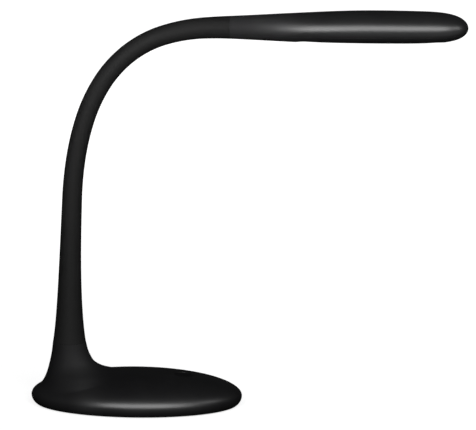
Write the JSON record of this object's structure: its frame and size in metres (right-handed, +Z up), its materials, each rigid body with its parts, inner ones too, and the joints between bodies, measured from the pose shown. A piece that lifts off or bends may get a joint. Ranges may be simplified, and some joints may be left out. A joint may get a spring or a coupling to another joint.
{
  "type": "gooseneck desk lamp",
  "caption": "Desk lamp with a long slim head on a flexible sleeved gooseneck, rising from a pedestal at the rear of a weighted domed oval base.",
  "frame": {"origin": "centre of the oval footprint, on the surface the lamp stands on", "axes": "+X along the head from the neck towards the tip, +Y across the lamp, +Z up"},
  "size_m": [0.4146, 0.126, 0.3861],
  "materials": {
    "black_abs": "satin moulded ABS",
    "black_abs_plate": "matte moulded ABS",
    "ballast_steel": "raw plate with mill scale",
    "foot_rubber": "matte EVA rubber",
    "zinc_steel": "zinc plated",
    "circuit_board": "solder mask",
    "led_board_white": "white solder mask",
    "component_plastic": "moulded",
    "lead_pvc": "satin PVC",
    "nickel_steel": "nickel plated",
    "opal_diffuser": "opal, frosted",
    "led_phosphor": "silicone over phosphor",
    "spreader_aluminium": "mill finish",
    "button_abs": "satin moulded ABS",
    "sleeve_silicone": "matte moulded silicone",
    "gooseneck_steel": "wound, oiled"
  },
  "bodies": {
    "base": {"base_cover": "black_abs", "base_plate": "black_abs_plate", "base_weight": "ballast_steel", "foot_mat": "foot_rubber", "base_screws": "zinc_steel", "weight_screws": "zinc_steel", "control_board": "circuit_board", "board_parts": "component_plastic", "tact_switch": "component_plastic", "board_screws": "zinc_steel", "power_inlet": "component_plastic", "inlet_lead": "lead_pvc", "neck_ferrule_lower": "nickel_steel", "neck_washer": "nickel_steel", "neck_nut": "nickel_steel", "neck_sleeve_0": "sleeve_silicone", "neck_core_0": "gooseneck_steel", "neck_lead_0": "lead_pvc"},
    "neck_link_1": {"neck_sleeve_1": "sleeve_silicone", "neck_core_1": "gooseneck_steel", "neck_lead_1": "lead_pvc"},
    "neck_link_2": {"neck_sleeve_2": "sleeve_silicone", "neck_core_2": "gooseneck_steel", "neck_lead_2": "lead_pvc"},
    "neck_link_3": {"neck_sleeve_3": "sleeve_silicone", "neck_core_3": "gooseneck_steel", "neck_lead_3": "lead_pvc"},
    "neck_link_4": {"neck_sleeve_4": "sleeve_silicone", "neck_core_4": "gooseneck_steel", "neck_lead_4": "lead_pvc"},
    "neck_link_5": {"neck_sleeve_5": "sleeve_silicone", "neck_core_5": "gooseneck_steel", "neck_lead_5": "lead_pvc"},
    "neck_link_6": {"neck_sleeve_6": "sleeve_silicone", "neck_core_6": "gooseneck_steel", "neck_lead_6": "lead_pvc"},
    "neck_link_7": {"neck_sleeve_7": "sleeve_silicone", "neck_core_7": "gooseneck_steel", "neck_lead_7": "lead_pvc"},
    "neck_link_8": {"neck_sleeve_8": "sleeve_silicone", "neck_core_8": "gooseneck_steel", "neck_lead_8": "lead_pvc"},
    "neck_link_9": {"neck_sleeve_9": "sleeve_silicone", "neck_core_9": "gooseneck_steel", "neck_lead_9": "lead_pvc"},
    "head": {"head_top": "black_abs", "head_bottom": "black_abs", "diffuser": "opal_diffuser", "led_board": "led_board_white", "led_chips": "led_phosphor", "heat_spreader": "spreader_aluminium", "led_screws": "zinc_steel", "head_screws": "zinc_steel", "neck_ferrule_upper": "nickel_steel", "ferrule_screw": "zinc_steel", "neck_sleeve_10": "sleeve_silicone", "neck_core_10": "gooseneck_steel", "neck_lead_10": "lead_pvc"},
    "button": {"power_button": "button_abs"}
  },
  "joints": [
    {"name": "neck_bend_1", "type": "hinge", "parent": "base", "child": "neck_link_1", "pos_m": [-0.06394, 0, 0.0823], "axis": [0, 1, 0], "range_deg": [-8, 5]},
    {"name": "neck_sway_2", "type": "hinge", "parent": "neck_link_1", "child": "neck_link_2", "pos_m": [-0.06347, 0, 0.1213], "axis": [-0.9998, 0, 0.0192], "range_deg": [-12, 12]},
    {"name": "neck_bend_3", "type": "hinge", "parent": "neck_link_2", "child": "neck_link_3", "pos_m": [-0.06248, 0, 0.16028], "axis": [0, 1, 0], "range_deg": [-8, 5]},
    {"name": "neck_bend_4", "type": "hinge", "parent": "neck_link_3", "child": "neck_link_4", "pos_m": [-0.06115, 0, 0.19926], "axis": [0, 1, 0], "range_deg": [-8, 5]},
    {"name": "neck_sway_5", "type": "hinge", "parent": "neck_link_4", "child": "neck_link_5", "pos_m": [-0.05755, 0, 0.23807], "axis": [-0.989, 0, 0.1478], "range_deg": [-12, 12]},
    {"name": "neck_bend_6", "type": "hinge", "parent": "neck_link_5", "child": "neck_link_6", "pos_m": [-0.04889, 0, 0.27606], "axis": [0, 1, 0], "range_deg": [-15, 12]},
    {"name": "neck_bend_7", "type": "hinge", "parent": "neck_link_6", "child": "neck_link_7", "pos_m": [-0.03294, 0, 0.31155], "axis": [0, 1, 0], "range_deg": [-15, 12]},
    {"name": "neck_sway_8", "type": "hinge", "parent": "neck_link_7", "child": "neck_link_8", "pos_m": [-0.00753, 0, 0.34088], "axis": [-0.6347, 0, 0.7727], "range_deg": [-12, 12]},
    {"name": "neck_bend_9", "type": "hinge", "parent": "neck_link_8", "child": "neck_link_9", "pos_m": [0.02647, 0, 0.35953], "axis": [0, 1, 0], "range_deg": [-15, 12]},
    {"name": "neck_bend_10", "type": "hinge", "parent": "neck_link_9", "child": "head", "pos_m": [0.06464, 0, 0.36702], "axis": [0, 1, 0], "range_deg": [-15, 12]},
    {"name": "button_press", "type": "slide", "parent": "base", "child": "button", "axis": [0, 0, -1], "range_m": [0, 0.0008], "stiffness_N_per_m": 1500, "springref_m": -0.0003}
  ],
  "couplings": [
    {"joint": "neck_bend_3", "follows": "neck_bend_1", "ratio": 1},
    {"joint": "neck_bend_4", "follows": "neck_bend_1", "ratio": 1},
    {"joint": "neck_sway_5", "follows": "neck_sway_2", "ratio": 1},
    {"joint": "neck_bend_7", "follows": "neck_bend_6", "ratio": 1},
    {"joint": "neck_sway_8", "follows": "neck_sway_2", "ratio": 1},
    {"joint": "neck_bend_9", "follows": "neck_bend_6", "ratio": 1},
    {"joint": "neck_bend_10", "follows": "neck_bend_6", "ratio": 1}
  ]
}
